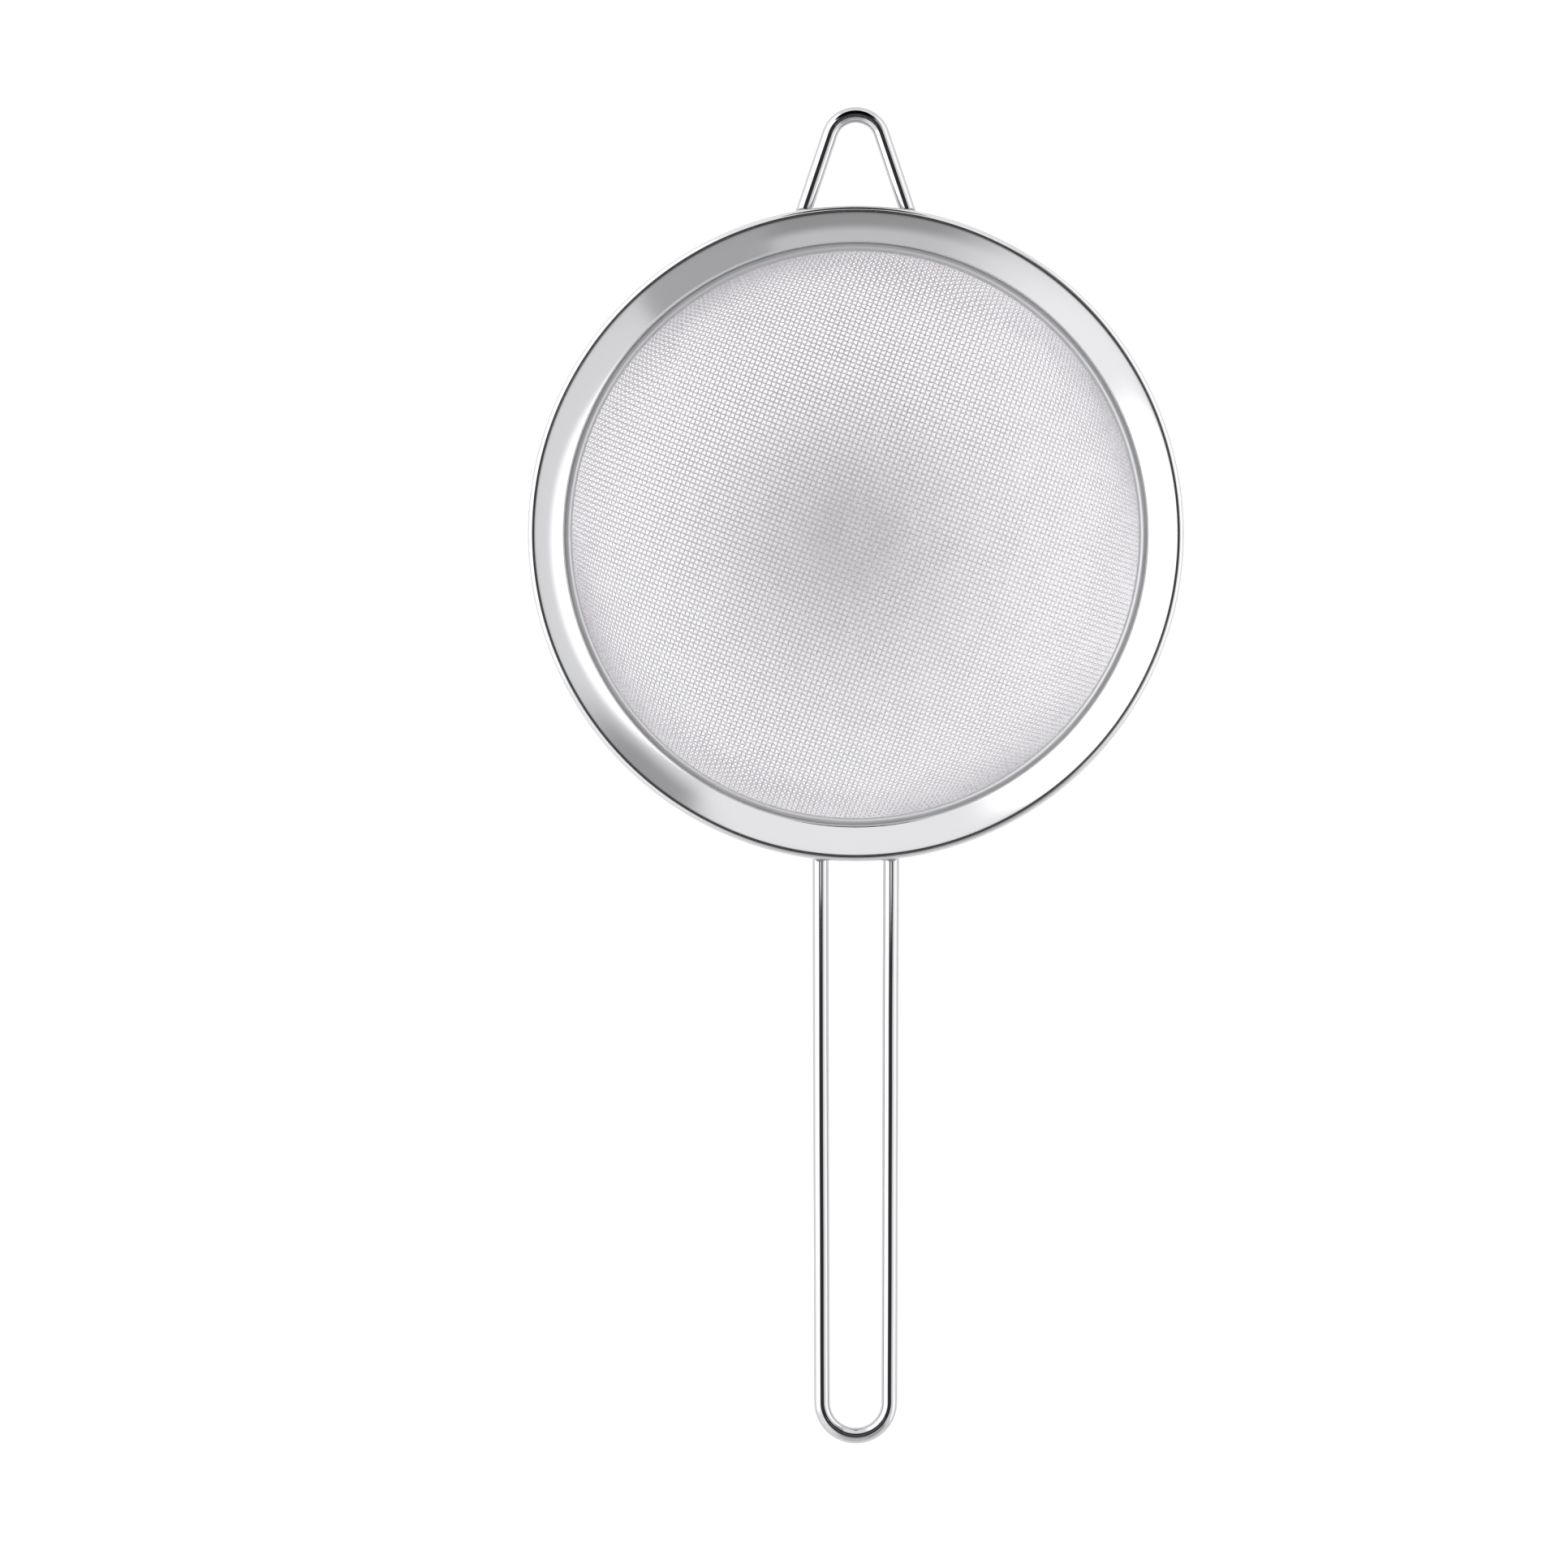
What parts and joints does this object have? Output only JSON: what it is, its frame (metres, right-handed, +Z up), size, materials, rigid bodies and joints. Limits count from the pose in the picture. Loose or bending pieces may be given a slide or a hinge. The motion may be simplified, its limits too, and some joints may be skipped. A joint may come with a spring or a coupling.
{
  "type": "tea strainer",
  "caption": "Fine-mesh stainless tea strainer: a deep woven wire bowl in a curled rim, with a long bent-wire loop handle and a wire hook opposite that rests on the cup.",
  "frame": {"origin": "centre of the plane on which the strainer sits on a cup: the underside of the handle and hook wires, on the axis of the bowl", "axes": "+Z up out of the bowl's mouth, +Y towards the rest hook, -Y along the handle, +X to the right"},
  "size_m": [0.0808, 0.165, 0.0355],
  "materials": {
    "rim_steel": "pressed stainless sheet, bright polished",
    "cloth_steel": "woven stainless wire cloth, bright drawn wire",
    "wire_steel": "drawn stainless wire, electropolished",
    "weld_steel": "resistance weld, cleaned but dull"
  },
  "bodies": {
    "root": {"rim_band": "rim_steel", "mesh_clamp_ring": "rim_steel", "mesh_bowl": "cloth_steel", "handle_loop": "wire_steel", "rest_hook": "wire_steel", "handle_root_weld_left": "weld_steel", "handle_root_weld_right": "weld_steel", "handle_curl_weld_left": "weld_steel", "handle_curl_weld_right": "weld_steel", "hook_root_weld_left": "weld_steel", "hook_root_weld_right": "weld_steel", "hook_curl_weld_left": "weld_steel", "hook_curl_weld_right": "weld_steel"}
  },
  "joints": []
}
